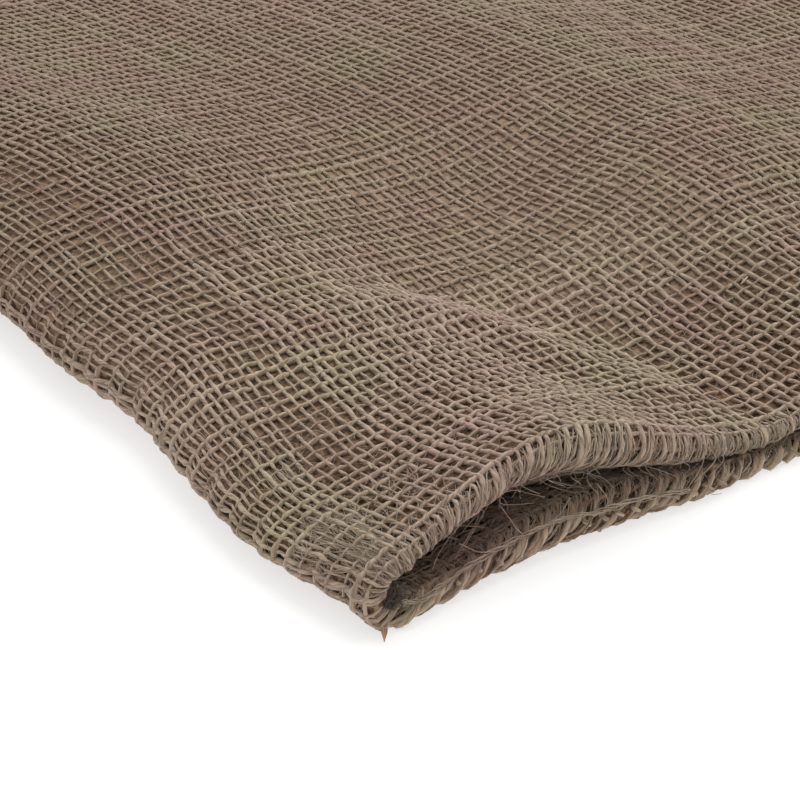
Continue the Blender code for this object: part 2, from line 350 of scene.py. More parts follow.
# The camera that fits the photographed weave, in metres and degrees
CAMERA_PLACE = (-0.3473, -0.4725, 0.2254)
CAMERA_TURN = (61.61, 0.0, -36.94)
CAMERA_LENS = 117.0
CAMERA_SENSOR = 36.0


class JuteSackSettings(bpy.types.PropertyGroup):
    """Sizes and colours that a user would change."""

    yarn: bpy.props.FloatProperty(
        name="Yarn thickness", description="Usual thickness of a yarn",
        default=0.00073, min=0.0003, max=0.002, unit="LENGTH",
    )
    crimp: bpy.props.FloatProperty(
        name="Crimp", description="How far a yarn rises and falls from the cloth's middle",
        default=0.00014, min=0.0, max=0.001, unit="LENGTH",
    )
    fibre: bpy.props.FloatProperty(
        name="Fibre thickness", description="Thickness of a stray fibre",
        default=0.00011, min=0.00002, max=0.0003, unit="LENGTH",
    )
    twine: bpy.props.FloatProperty(
        name="Twine thickness", description="Thickness of the closing seams' twine",
        default=0.0013, min=0.0005, max=0.003, unit="LENGTH",
    )
    light: bpy.props.FloatVectorProperty(
        name="Light fibre", description="Colour of the yarns' light fibres",
        default=(0.453, 0.343, 0.246), min=0.0, max=1.0, subtype="COLOR",
    )
    dark: bpy.props.FloatVectorProperty(
        name="Dark fibre", description="Colour between the fibres and of the dark yarns",
        default=(0.195, 0.124, 0.074), min=0.0, max=1.0, subtype="COLOR",
    )
    # Painted shade: this colour darkens the cloth and the haze where a roll turns in at the mouth
    inside: bpy.props.FloatVectorProperty(
        name="Inside painted shade", description="Tint of the cloth that is turned in at the mouth",
        default=(0.60, 0.50, 0.43), min=0.0, max=1.0, subtype="COLOR",
    )
    # The haze's two colours: partly the fine fibres' own, partly painted shade of the deeper layers
    # seen through the holes
    haze: bpy.props.FloatVectorProperty(
        name="Haze", description="Colour of the fine fibres in the weave's open holes",
        default=(0.265, 0.166, 0.098), min=0.0, max=1.0, subtype="COLOR",
    )
    filled: bpy.props.FloatVectorProperty(
        name="Filled haze", description="Colour of the fine fibres where they fill the holes",
        default=(0.380, 0.267, 0.183), min=0.0, max=1.0, subtype="COLOR",
    )
    floor: bpy.props.FloatVectorProperty(
        name="Floor", description="Colour of the plain floor",
        default=(0.46, 0.46, 0.46), min=0.0, max=1.0, subtype="COLOR",
    )


# ---- Curves and the cloth's surface ----
def smooth_curve(places, values, at):
    """Values at the places asked for on a smooth curve through points, level where it turns.

    places and values have a row for each point. Their other axis is 1, or that of at where each
    place asked for has a curve of its own.
    """
    at = np.clip(at, places[0], places[-1])
    spans = np.diff(places, axis=0)
    slopes = np.diff(values, axis=0) / spans
    before, after = slopes[:-1], slopes[1:]
    turns = before * after <= 0
    level = np.where(turns, 0.0, 2 * before * after / np.where(turns, 1.0, before + after))
    tangents = np.concatenate([slopes[:1], level, slopes[-1:]])
    piece = np.clip((at[None] >= places).sum(axis=0) - 1, 0, len(places) - 2)

    def at_piece(rows, shift=0):
        rows = np.broadcast_to(rows, (len(rows), len(at)))
        return np.take_along_axis(rows, piece[None] + shift, axis=0)[0]

    span = at_piece(spans)
    t = (at - at_piece(places)) / span
    return (
        at_piece(values) * (2 * t**3 - 3 * t**2 + 1)
        + at_piece(tangents) * span * (t**3 - 2 * t**2 + t)
        + at_piece(values, 1) * (3 * t**2 - 2 * t**3)
        + at_piece(tangents, 1) * span * (t**3 - t**2)
    )


def table_columns(table, at):
    """The table's columns at each place, read smoothly between its rows."""
    columns = np.array(table, float).T[:, :, None]
    rows = [smooth_curve(columns[0], column, at.ravel()) for column in columns[1:]]
    return [row.reshape(at.shape) for row in rows]


def ease(t):
    """0 to 1, level at both ends."""
    t = np.clip(t, 0.0, 1.0)
    return t * t * (3 - 2 * t)


def rise_between(value, low, high):
    """0 up to low and 1 from high on."""
    return ease((value - low) / (high - low))


def upper_height(x, y):
    """Height of the upper wall, before its sides round down."""
    (shoulder, ridge_x, ridge, valley_x, valley, hump_x, hump,
     dip_x, dip, swell_x, swell, far_shoulder) = table_columns(SECTIONS, y)
    near = np.full_like(x, SHOULDER_IN)
    places = np.array([near, ridge_x, valley_x, hump_x, dip_x, swell_x, WIDTH - near])
    heights = np.array([shoulder, ridge, valley, hump, dip, swell, far_shoulder])
    height = smooth_curve(places, heights, x)
    for crease_x, crease_y, turn, length, width, rise in CREASES:
        cos_turn, sin_turn = np.cos(radians(turn)), np.sin(radians(turn))
        lengthwise = (x - crease_x) * cos_turn + (y - crease_y) * sin_turn
        sideways = (y - crease_y) * cos_turn - (x - crease_x) * sin_turn
        height = height + rise * np.exp(-(lengthwise / length) ** 2 - (sideways / width) ** 2)
    return height


def scallop(place, pitch):
    """Round bulges side by side with a sharp notch between them, from -0.5 to 0.5."""
    return np.abs(np.sin(pi * place / pitch)) ** 0.8 - 0.5


def side_rounding(station):
    """0 at the sack's two sides, 1 where a side has rounded down from the top."""
    from_side = np.minimum(station, WIDTH - station)
    return np.sqrt(1 - (1 - np.minimum(from_side / SIDE_ROUND, 1.0)) ** 2)


def mouth_roll(across, along):
    """Radius of the mouth's roll, and the angle round it: 0 on a wall, pi where turned in."""
    station = np.clip(np.abs(across), 0.0, WIDTH)
    upper_r, lower_r = table_columns(MOUTH, station)[:2]
    rolled = np.where(across >= 0, upper_r, lower_r)
    radius = SIDE_FOLD + (rolled - SIDE_FOLD) * side_rounding(station)
    return radius, pi / 2 * (1 - np.clip(along / (pi / 2 * radius), -1.0, 1.0))


def roll_share(across, along):
    """How much a place lies on the front of a roll, from 0 to 1."""
    station = np.clip(np.abs(across), 0.0, WIDTH)
    return np.sin(mouth_roll(across, along)[1]) * side_rounding(station)


def inside_shade_share(across, along):
    """How far painted shade darkens the cloth: 0 where it is outside, rising to 1 where a roll
    turns in.
    """
    return rise_between(mouth_roll(across, along)[1], INSIDE_SHADE_FROM, INSIDE_SHADE_TO)


def filled_share(across, along):
    """How far the finest fibres fill the weave's holes, from 0 to 1."""
    whole = rise_between(np.abs(across), *FILLED_ACROSS)
    share = FILLED_AT_FOLD + (1 - FILLED_AT_FOLD) * whole
    return share * rise_between(np.abs(along), *FILLED_ALONG)


def cloth_point(across, along):
    """The middle of the cloth at places on it, as rows of x, y and z."""
    station = np.clip(np.abs(across), 0.0, WIDTH)
    upper = across >= 0
    upper_r, lower_r, sag, lower_back, upper_back = table_columns(MOUTH, station)
    side = side_rounding(station)
    roll_r, fold = mouth_roll(across, along)
    back = np.where(upper, lower_back + (upper_back - lower_back) * side, lower_back)

    # Round the mouth's fold, then along a wall, then round the closed end
    half_roll = pi / 2 * roll_r
    on_wall = np.abs(along) - half_roll * (1 - ease(np.abs(along) / LENGTH))
    on_wall = np.clip(on_wall, 0.0, END_ALONG)
    end = np.clip((on_wall - LENGTH + END_ROUND) / END_ROUND, 0.0, pi / 2)
    y_along = np.minimum(on_wall, LENGTH - END_ROUND) + END_ROUND * np.sin(end)

    turned = (1 - np.cos(fold)) / 2
    near_mouth = 1 - ease(y_along / FADE)
    near_end = ease((y_along - LENGTH + FADE) / FADE)
    (end_in,) = table_columns(CLOSED_END, station)
    y = y_along + (back + roll_r * (1 - np.sin(fold))) * near_mouth - end_in * near_end

    left_in, right_in = table_columns(SIDES, y)
    inset = 2 * SIDE_FOLD * turned
    left = left_in + inset
    right = WIDTH - right_in - inset
    x = left + (right - left) * station / WIDTH

    settled = ease(y_along / SETTLE)
    drop = 2 * upper_r + (FLAP_DROP - 2 * upper_r) * settled
    drop = drop + sag * ease(y_along / SAG_START) * (1 - ease((y_along - SAG_START) / SETTLE))
    lift = 2 * lower_r + (FLAP_LIFT - 2 * lower_r) * settled
    top = upper_height(x, y) - drop * turned
    bottom = FLOOR_Z + lift * turned
    middle = bottom + (top - bottom) * FOLD_LEVEL
    reach = np.minimum(side, np.cos(end))
    z = middle + (np.where(upper, top, bottom) - middle) * reach

    # The left fold's bulges
    at_left = 1 - ease(station / SCALLOP_WIDTH)
    x = x - SCALLOP_HEIGHT * scallop(along, SCALLOP_PITCH) * at_left

    # On the rolls the yarns run askew and draw together in bunches, most of all on the lower one
    round_roll = np.maximum(half_roll - along, 0.0)
    straight = 1 - ease((round_roll - 2 * half_roll) / SKEW_END)
    x = x + np.where(upper, -SKEW, SKEW) * np.minimum(round_roll, 2 * half_roll) * straight * side
    on_front = roll_share(across, along) ** 0.5
    bunch = station + BUNCH_UNEVEN * sum(np.sin(station / wave) for wave in BUNCH_WAVES)
    bulge = BUNCH_HEIGHT * scallop(bunch, BUNCH_PITCH) * np.where(upper, UPPER_BUNCH, 1.0)
    bulge = bulge * on_front
    y = y - bulge * np.sin(fold)
    z = z + bulge * np.cos(fold) * np.where(upper, 1.0, -1.0)
    drawn = BUNCH_DRAW * np.where(upper, UPPER_DRAW, 1.0) * on_front
    x = x + drawn * np.sin(2 * pi * bunch / BUNCH_PITCH)

    for dent_x, dent_y, dent_z, wide_x, wide_y, wide_z, move_x, move_y, move_z in DENTS:
        off = ((x - dent_x) / wide_x) ** 2 + ((y - dent_y) / wide_y) ** 2
        share = np.exp(-off - ((z - dent_z) / wide_z) ** 2)
        x = x + move_x * share
        y = y + move_y * share
        z = np.maximum(z + move_z * share, np.minimum(z, FLOOR_Z))
    return np.stack([x - WIDTH / 2, y - LENGTH / 2, z], axis=-1)


def unit(rows):
    """The rows, each made a length of 1."""
    return rows / np.maximum(np.linalg.norm(rows, axis=-1, keepdims=True), 1e-9)


def cloth_frame(across, along):
    """Points of the cloth with their outward normals and the two directions in the cloth."""
    step = 0.4
    across, along = np.broadcast_arrays(across, along)
    shape = across.shape + (3,)
    across, along = across.ravel(), along.ravel()
    point = cloth_point(across, along)
    round_it = cloth_point(across + step, along) - cloth_point(across - step, along)
    down_it = cloth_point(across, along + step) - cloth_point(across, along - step)
    normal = unit(np.cross(round_it, down_it))
    return [rows.reshape(shape) for rows in (point, normal, unit(round_it), unit(down_it))]


# ---- Yarns ----
class YarnFamily:
    """The yarns that run one way. The first and the last place are the cloth's edges."""

    def __init__(self, low, high, spacing, side_rise, seed):
        places = [self.places_to(end, spacing, side_rise) for end in (-low, high)]
        inner = np.concatenate([-places[0][:0:-1], places[1]])
        self.places = np.concatenate([[low], inner, [high]])
        count = len(self.places)
        draw = np.random.default_rng(seed)
        self.free = 1 - NEAT_AT_FOLD * (1 - ease(np.abs(self.places) / SIDE_ROUND))
        self.free[[0, -1]] = 0.0
        self.shift = SPACING_SPREAD * self.free * draw.standard_normal(count)
        self.usual = 1 + THICKNESS_SPREAD * draw.standard_normal(count).clip(-2, 2)
        self.phases = draw.uniform(0, 2 * pi, (count, len(UNEVENNESS)))

    @staticmethod
    def places_to(end, spacing, side_rise):
        """Places from 0 to the cloth's edge whose distances follow the table of spacings."""
        fine = np.linspace(0.0, end, 8001)
        rise = side_rise * side_rounding(np.clip(fine, 0.0, WIDTH))
        lengths = np.hypot(np.diff(fine), np.diff(rise))
        (apart,) = table_columns(spacing, fine[1:])
        yarns = np.concatenate([[0.0], np.cumsum(lengths / apart)])
        return np.interp(np.arange(floor(yarns[-1] + 0.5)), yarns, fine)

    def waves(self, which, at, column):
        """How the yarns depart from even at each place of their run, one row for each yarn."""
        total = 0.0
        for number, row in enumerate(UNEVENNESS):
            phase = self.phases[which, number][:, None] * (1 + column)
            total = total + row[column] * np.sin(2 * pi * at[None, :] / row[0] + phase)
        return total

    def span(self, low, high):
        """The numbers of the yarns between two places, as first and one past the last."""
        return int(np.searchsorted(self.places, low)), int(np.searchsorted(self.places, high))


WARPS = YarnFamily(-WIDTH, WIDTH, WARP_SPACING, SIDE_RISE, SEED)
WEFTS = YarnFamily(-TURN_IN, END_ALONG, WEFT_SPACING, 0.0, SEED + 1)


def crossings(warps, wefts):
    """Where the yarns with these numbers cross: across and along, a row for each warp."""
    across, along = WARPS.places[warps], WEFTS.places[wefts]
    sway = WARPS.waves(warps, along, 1) * WARPS.free[warps][:, None]
    across_at = (across + WARPS.shift[warps])[:, None] + sway
    sway = WEFTS.waves(wefts, across, 1) * WEFTS.free[wefts][:, None]
    along_at = (along + WEFTS.shift[wefts])[None, :] + sway.T
    return across_at, along_at


def between(values, first, phases):
    """The columns of values at fractional yarn numbers, where column 0 is yarn number first."""
    column = np.clip(np.floor(phases).astype(int) - first, 0, values.shape[1] - 2)
    t = phases - first - column
    return values[:, column] * (1 - t) + values[:, column + 1] * t


def run_phases(family, first, last, points):
    """Where a yarn's points lie along its run, counted in the yarns that it crosses."""
    count = len(family.places)
    low = first - 0.5 if first > 0 else 0.0
    high = last - 0.5 if last < count else count - 1.0
    inner = np.arange(ceil(low * points), floor(high * points) + 1) / points
    return np.unique(np.concatenate([[low], inner, [high]]))


def new_object(name, data):
    """An object of the scene with this mesh, curve, light or camera."""
    item = bpy.data.objects.new(name, data)
    bpy.context.scene.collection.objects.link(item)
    return item


def grid_mesh(name, segments, size):
    """A flat square mesh, from -size to size each way."""
    net = bmesh.new()
    bmesh.ops.create_grid(net, x_segments=segments[0], y_segments=segments[1], size=size)
    mesh = bpy.data.meshes.new(name)
    net.to_mesh(mesh)
    net.free()
    return mesh


def new_curve(name, sides):
    """An empty curve that makes round yarns of 4 sides or more, or flat fibres of 2."""
    curve = bpy.data.curves.new(name, "CURVE")
    curve.dimensions = "3D"
    if sides == 2:
        curve.extrude = MM
        curve.twist_mode = "Z_UP"
    else:
        curve.bevel_depth = MM
        curve.bevel_resolution = (sides - 4) // 2
    curve.use_fill_caps = False
    return curve


def add_strands(curve, lines, radii, tilts=None):
    """One strand for each line of points, with the strand's radius at each point.

    A flat fibre stands on its edge where its tilt is 0, and lies flat at a quarter turn.
    """
    for number, (line, radius) in enumerate(zip(lines, radii)):
        spline = curve.splines.new("POLY")
        spline.points.add(len(line) - 1)
        places = np.column_stack([line * MM, np.ones(len(line))])
        spline.points.foreach_set("co", places.ravel())
        spline.points.foreach_set("radius", radius)
        if tilts is not None:
            spline.points.foreach_set("tilt", np.full(len(line), tilts[number]))


def add_attribute(mesh, name, values):
    """Gives each of the mesh's vertices its number."""
    numbers = mesh.attributes.new(name, "FLOAT", "POINT")
    numbers.data.foreach_set("value", values.astype(np.float32))


def strands_to_piece(name, curve, sides, run, material, inside=None, closed=True):
    """The curve's strands as one mesh piece.

    run is the distance along its yarn of each point, and becomes the first number of the UV map.
    The second goes once round the yarn. inside says how much painted shade each point gets, where
    the mouth turns in.
    """
    source = new_object(name + "_curve", curve)
    graph = bpy.context.evaluated_depsgraph_get()
    mesh = bpy.data.meshes.new_from_object(source.evaluated_get(graph))
    bpy.data.objects.remove(source)
    bpy.data.curves.remove(curve)
    mesh.name = name

    corners = np.empty(len(mesh.loops), int)
    mesh.loops.foreach_get("vertex_index", corners)
    layer = mesh.uv_layers[0]
    places = np.empty(2 * len(corners), np.float32)
    layer.uv.foreach_get("vector", places)
    places[0::2] = run[corners // sides] * RUN_UV
    layer.uv.foreach_set("vector", places)
    layer.name = "run"

    points = np.empty(3 * len(mesh.vertices), np.float32)
    mesh.vertices.foreach_get("co", points)
    points[2::3] = np.maximum(points[2::3], 0.0)
    mesh.vertices.foreach_set("co", points)
    if inside is not None:
        add_attribute(mesh, "inside", np.repeat(inside, sides))

    if closed:
        net = bmesh.new()
        net.from_mesh(mesh)
        ends = [edge for edge in net.edges if edge.is_boundary]
        bmesh.ops.holes_fill(net, edges=ends, sides=0)
        net.to_mesh(mesh)
        net.free()
    mesh.shade_smooth()
    mesh.materials.clear()
    mesh.materials.append(material)
    piece = new_object(name, mesh)
    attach(piece, BODY)
    return piece


def strands_piece(name, sides, lines, radii, runs, material):
    """A piece from lines of points, with each line's radii and its distances along the yarn."""
    curve = new_curve(name, sides)
    add_strands(curve, lines, radii)
    strands_to_piece(name, curve, sides, np.concatenate(runs), material)


def sign(numbers):
    """1 for even numbers and -1 for odd ones."""
    return np.where(np.asarray(numbers) % 2 == 0, 1.0, -1.0)


def weave_area(curve, area, points, settings):
    """Adds an area's yarns to the curve.

    It returns how far each of their points is along its yarn, and how much painted shade it gets
    where the mouth turns in.
    """
    low_across, high_across, low_along, high_along = area
    warp_first, warp_last = WARPS.span(low_across, high_across)
    weft_first, weft_last = WEFTS.span(low_along, high_along)
    warps = np.arange(max(warp_first - 1, 0), min(warp_last + 1, len(WARPS.places)))
    wefts = np.arange(max(weft_first - 1, 0), min(weft_last + 1, len(WEFTS.places)))
    across_at, along_at = crossings(warps, wefts)
    crimp, radius = settings.crimp / MM, settings.yarn / MM / 2
    runs, inside_shades = [], []
    for family, other, numbers, crossed, first, last, crossed_first, crossed_last, turned in (
        (WARPS, WEFTS, warps, wefts, warp_first, warp_last, weft_first, weft_last, False),
        (WEFTS, WARPS, wefts, warps, weft_first, weft_last, warp_first, warp_last, True),
    ):
        phases = run_phases(other, crossed_first, crossed_last, points[turned])
        tables = [table.T if turned else table for table in (across_at, along_at)]
        rows = [n for n in numbers if max(first, 1) <= n < min(last, len(family.places) - 1)]
        picked = np.array(rows) - numbers[0]
        across, along = [between(table[picked], crossed[0], phases) for table in tables]
        point, normal, _, _ = cloth_frame(across, along)
        over = (-1.0 if turned else 1.0) * sign(rows)[:, None] * np.cos(pi * phases)[None, :]
        on_roll = roll_share(across, along)
        sink = np.where(across >= 0, UPPER_SINK, LOWER_SINK) * on_roll
        height = crimp * over - (sink if turned else 0.0)
        point = point + normal * height[..., None]
        run_at = np.interp(phases, np.arange(len(other.places)), other.places)
        swell = 1 + family.waves(np.array(rows), run_at * SWELL_PACE, 2)
        radii = radius * family.usual[rows][:, None] * swell
        thicker = np.where(across >= 0, UPPER_SWELL, LOWER_SWELL) * on_roll
        radii = radii * (1 + (0.0 if turned else thicker))
        radii = radii * (1 + FILLED_SWELL * filled_share(across, along))
        add_strands(curve, point, radii)
        yarn_start = STREAK_SHIFT * (np.array(rows)[:, None] + (500 if turned else 0))
        runs.append((yarn_start + run_at[None, :]).ravel())
        # how much painted shade each point gets, where the mouth turns in
        inside_shades.append(inside_shade_share(across, along).ravel())
    return np.concatenate(runs), np.concatenate(inside_shades)


class JUTESACK_OT_weave(bpy.types.Operator):
    """Weave the sack's cloth, region by region, from warps and wefts"""

    bl_idname = "jutesack.weave"
    bl_label = "Weave the cloth"
    bl_options = {"REGISTER", "UNDO"}

    def execute(self, context):
        settings = context.scene.jute_sack
        material = jute_material("jute_yarn", settings.light, settings.dark)
        for name, sides, *points, areas in WEAVES:
            curve = new_curve(name, sides)
            parts = [weave_area(curve, area, points, settings) for area in areas]
            run, inside = [np.concatenate(rows) for rows in zip(*parts)]
            piece = strands_to_piece(name, curve, sides, run, material, inside)
            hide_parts(NODE)
        return {"FINISHED"}


def stepped(stops):
    """Places from the first stop to the last one, about as far apart as the stops say."""
    places = [stops[0][0]]
    for (start, step), (end, _) in zip(stops, stops[1:]):
        count = ceil((end - start) / step)
        places.extend(start + (end - start) * np.arange(1, count + 1) / count)
    return np.array(places, float)


class JUTESACK_OT_haze(bpy.types.Operator):
    """Lay the finest fibres, that half fill the weave's holes, as a thin sheet behind the yarns,
    dark as painted shade of the cloth behind
    """

    bl_idname = "jutesack.haze"
    bl_label = "Add the haze"
    bl_options = {"REGISTER", "UNDO"}

    def execute(self, context):
        settings = context.scene.jute_sack
        material = haze_and_shade_material(settings)
        for name, across_stops, along_stops in HAZE_STEPS:
            places = [stepped(across_stops), stepped(along_stops)]
            segments = [len(row) - 1 for row in places]
            mesh = grid_mesh(name, segments, 1.0)
            corners = np.empty(3 * len(mesh.vertices))
            mesh.vertices.foreach_get("co", corners)
            spots = [
                row[np.rint((corners[axis::3] + 1) / 2 * count).astype(int)]
                for axis, (row, count) in enumerate(zip(places, segments))
            ]
            point, normal, _, _ = cloth_frame(*spots)
            near_fold = 1 - ease(np.abs(spots[0]) / HAZE_NEAR_FOLD)
            filling = filled_share(*spots)
            depth = HAZE_DEPTH + (HAZE_FAR_DEPTH - HAZE_DEPTH) * filling
            point = point - normal * (depth * (1 - HAZE_FOLD_RISE * near_fold))[:, None]
            point[:, 2] = np.maximum(point[:, 2], 0.0)
            mesh.vertices.foreach_set("co", (point * MM).ravel())
            add_attribute(mesh, "filling", filling)
            # painted shade where the cloth turns in at the mouth
            add_attribute(mesh, "inside", inside_shade_share(*spots))
            mesh.shade_smooth()
            mesh.materials.append(material)
            piece = new_object(name, mesh)
            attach(piece, BODY)
            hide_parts(NODE)
        return {"FINISHED"}


def smooth_line(points, count):
    """A smooth line through a few points."""
    points = np.array(points, float)
    reached = np.concatenate([[0.0], np.cumsum(np.linalg.norm(np.diff(points, axis=0), axis=1))])
    at = np.linspace(0.0, reached[-1], count)
    columns = [smooth_curve(reached[:, None], points[:, k][:, None], at) for k in range(3)]
    return np.stack(columns, axis=-1), at


def seam_line(start, end, outward, set_in, out, rise):
    """A seam's twine, and how far each of its points is along the seam."""
    start, end = np.array(start), np.array(end)
    length = np.abs(end - start).max()
    turns = floor(length / SEAM_PITCH)
    t = np.linspace(0.0, 1.0, turns * 12 + 1)
    edge = cloth_point(*(start[:, None] + (end - start)[:, None] * t))
    turn = 2 * pi * turns * t[:, None]
    reach = (out * np.cos(turn) - set_in) * np.array(outward)
    lift = rise * np.sin(turn) * np.array((0.0, 0.0, 1.0))
    return edge + reach + lift, length * t


class JUTESACK_OT_seams(bpy.types.Operator):
    """Sew the right side and the closed end with twine"""

    bl_idname = "jutesack.seams"
    bl_label = "Sew the seams"
    bl_options = {"REGISTER", "UNDO"}

    def execute(self, context):
        settings = context.scene.jute_sack
        material = jute_material("jute_twine", settings.light, settings.dark, 0.1)
        lines, runs = zip(*[seam_line(*row) for row in SEAMS])
        radii = [np.full(len(line), settings.twine / MM / 2) for line in lines]
        strands_piece("seam_twine", 6, lines, radii, runs, material)
        return {"FINISHED"}


def from_middle(line):
    """A line that is measured from the near left corner, measured from the sack's middle."""
    return line - np.array((WIDTH / 2, LENGTH / 2, 0.0))


def lay_loose_yarn(settings, draw, material):
    """The loose yarn on the lower roll, opened up into strands that sway round its middle."""
    line, run = smooth_line(LOOSE_YARN, 200)
    lines, radii, runs = [], [], []
    for strand in range(LOOSE_STRANDS):
        phase = 2 * pi * strand / LOOSE_STRANDS
        turn = phase + run * draw.uniform(0.25, 0.45)
        apart = LOOSE_APART * (0.7 + 0.5 * np.sin(run * draw.uniform(0.2, 0.6) + 3 * phase))
        apart = apart + 0.10 * np.sin(run * draw.uniform(1.5, 3.5))
        sway = np.stack([0 * run, np.cos(turn) * 0.6, np.sin(turn)], axis=-1)
        lines.append(from_middle(line + sway * apart[:, None]))
        uneven = 1 + 0.25 * np.sin(run * draw.uniform(0.5, 1.6) + phase)
        radii.append(settings.yarn / MM / 2 * LOOSE_SHARE * uneven)
        runs.append(run + 300 * strand)
    strands_piece("loose_yarn", 4, lines, radii, runs, material)


def hang_strays(settings, draw, material):
    """The fibres that hang in the mouth: those of the table, and more at random."""
    lines, radii, runs = [], [], []
    for *points, thickness in STRAYS:
        line, run = smooth_line(points, 12)
        lines.append(from_middle(line))
        radii.append(np.full(12, thickness / 2))
        runs.append(run)
    across = draw.uniform(*HANGING_ACROSS, HANGING)
    along = draw.uniform(*HANGING_ALONG, HANGING)
    start, normal, round_it, _ = [rows[:, None, :] for rows in cloth_frame(across, along)]
    t = np.linspace(0, 1, 12)[None, :, None]
    length = draw.uniform(*HANGING_LENGTH, (HANGING, 1, 1))
    sideways = draw.normal(0, 1.0, (HANGING, 1, 1))
    curl = draw.normal(0, 0.5, (HANGING, 1, 1))
    outwards = normal * 0.25 * length * t
    swung = round_it * length * (sideways * t + curl * np.sin(3 * t))
    lines.extend(start + outwards + swung - (0, 0, HANGING_DROP) * length * t * t)
    radii.extend(np.full((HANGING, 12), settings.fibre / MM / 2))
    runs.extend(draw.uniform(0, 900, (HANGING, 1)) + t[0, :, 0] * length[:, :, 0])
    strands_piece("strays", 4, lines, radii, runs, material)


def add_tuft(draw):
    """The bunch of brown ends that sticks out at the near corner's foot."""
    lines, runs = [], []
    for number in range(TUFT_FIBRES):
        spread = draw.normal(0, 1, (3, 3)) * np.array(TUFT_SPREAD)[:, None]
        line, run = smooth_line(np.array(TUFT) + spread, 12)
        line[:, 2] = np.maximum(line[:, 2], 0.15)
        lines.append(from_middle(line))
        runs.append(run + 31 * number)
    radii = [np.linspace(*TUFT_RADII, 12)] * TUFT_FIBRES
    brown = jute_material("jute_tuft", *SHADES["jute_tuft"])
    strands_piece("tuft", 4, lines, radii, runs, brown)


def add_flecks():
    """The bits of straw that are caught in the weave."""
    lines, runs = [], []
    for across, along, length, turn in FLECKS:
        point, normal, round_it, down_it = cloth_frame(np.array([across]), np.array([along]))
        heading = np.cos(radians(turn)) * round_it + np.sin(radians(turn)) * down_it
        t = np.linspace(-0.5, 0.5, 5)[:, None]
        lines.append(point + normal * 0.5 + heading * length * t)
        runs.append(length * t[:, 0])
    radii = [FLECK_RADIUS * np.array((0.3, 0.9, 1.0, 0.8, 0.2))] * len(FLECKS)
    strands_piece("straw_flecks", 6, lines, radii, runs, jute_material("straw", *SHADES["straw"]))


def add_tangle(draw):
    """The dark tangle in the near corner's hollow."""
    middle, size = from_middle(np.array(TANGLE[:3])), np.array(TANGLE[3:])
    start = draw.normal(0, 0.4, (TANGLE_FIBRES, 1, 3))
    heading = unit(draw.normal(0, 1.0, (TANGLE_FIBRES, 1, 3)))
    curl = draw.normal(0, 0.6, (TANGLE_FIBRES, 1, 3))
    t = np.linspace(-1, 1, 8)[None, :, None]
    spots = start + heading * t * 0.8 + curl * (np.cos(2 * t) - 0.5)
    lines = middle + size * np.clip(spots, -1.5, 1.5)
    radii = np.full(lines.shape[:2], TANGLE_RADIUS)
    runs = np.arange(TANGLE_FIBRES)[:, None] * 7.0 + t[0, :, 0]
    dark = jute_material("jute_tangle", *SHADES["jute_tangle"])
    strands_piece("corner_tangle", 4, lines, radii, runs, dark)


class JUTESACK_OT_loose(bpy.types.Operator):
    """Add the loose yarn, the strays in the mouth, the corner's tuft and the flecks of straw"""

    bl_idname = "jutesack.loose"
    bl_label = "Add the loose ends"
    bl_options = {"REGISTER", "UNDO"}

    def execute(self, context):
        settings = context.scene.jute_sack
        draw = np.random.default_rng(SEED + 11)
        light = jute_material("jute_loose", settings.light, settings.dark, 0.15)
        lay_loose_yarn(settings, draw, light)
        hang_strays(settings, draw, light)
        add_tuft(draw)
        add_flecks()
        return {"FINISHED"}


def lay_fibres(name, sides, table, material, draw):
    """Strews fibres on the cloth, as a table's rows say, and joins them as one piece."""
    curve = new_curve(name, sides)
    runs = []
    for (low_across, high_across, low_along, high_along, count, direction, spread,
         shortest, longest, lift, thickness, waviness) in table:
        steps = np.linspace(0.0, 1.0, 4 + int(longest / 4))
        across, along, curl, rise, start, root = [
            draw.uniform(low, high, (count, 1))
            for low, high in (
                (low_across, high_across), (low_along, high_along), (-0.5, 0.5), (0, lift),
                (0, 9000), (FIBRE_DEPTH, FUZZ_HEIGHT),
            )
        ]
        length = draw.uniform(shortest, longest, (count, 1))
        turn = np.radians(direction + spread * draw.uniform(-1, 1, (count, 1)))
        run = length * (steps - 0.5)
        turn = turn + curl * steps * np.minimum(1.0, 6.0 / length)
        turn = turn + waviness * np.sin(1.1 * run + start)
        point, normal, _, _ = cloth_frame(across + run * np.cos(turn), along + run * np.sin(turn))
        height = root + rise * length * np.abs(steps - 0.35) ** 1.5
        lines = point + normal * height[..., None]
        radii = np.full(lines.shape[:2], thickness / 2) * (1 - 0.6 * (2 * steps - 1) ** 2)
        tilts = pi / 2 + draw.uniform(-0.7, 0.7, count)
        add_strands(curve, lines, radii, tilts if sides == 2 else None)
        runs.append((start + run).ravel())
    strands_to_piece(name, curve, sides, np.concatenate(runs), material, closed=sides > 2)


class JUTESACK_OT_fuzz(bpy.types.Operator):
    """Lay stray fibres on the cloth, and a dark tangle in the corner's hollow"""

    bl_idname = "jutesack.fuzz"
    bl_label = "Add the fuzz"
    bl_options = {"REGISTER", "UNDO"}

    def execute(self, context):
        settings = context.scene.jute_sack
        draw = np.random.default_rng(SEED + 7)
        short = jute_material("jute_fuzz", settings.light, settings.dark, 0.35)
        lay_fibres("fuzz", 2, FUZZ, short, draw)
        lay_fibres("corner_fibres", 4, CORNER_FIBRES, short, draw)
        lay_fibres("roll_fibres", 4, ROLL_FIBRES, short, draw)
        # darker colours as painted shade of the turned-in top
        shaded = jute_material("jute_mouth_fibres_in_shade", *SHADES["jute_mouth_fibres_in_shade"])
        lay_fibres("mouth_fibres", 4, MOUTH_FIBRES, shaded, draw)
        add_tangle(draw)
        return {"FINISHED"}


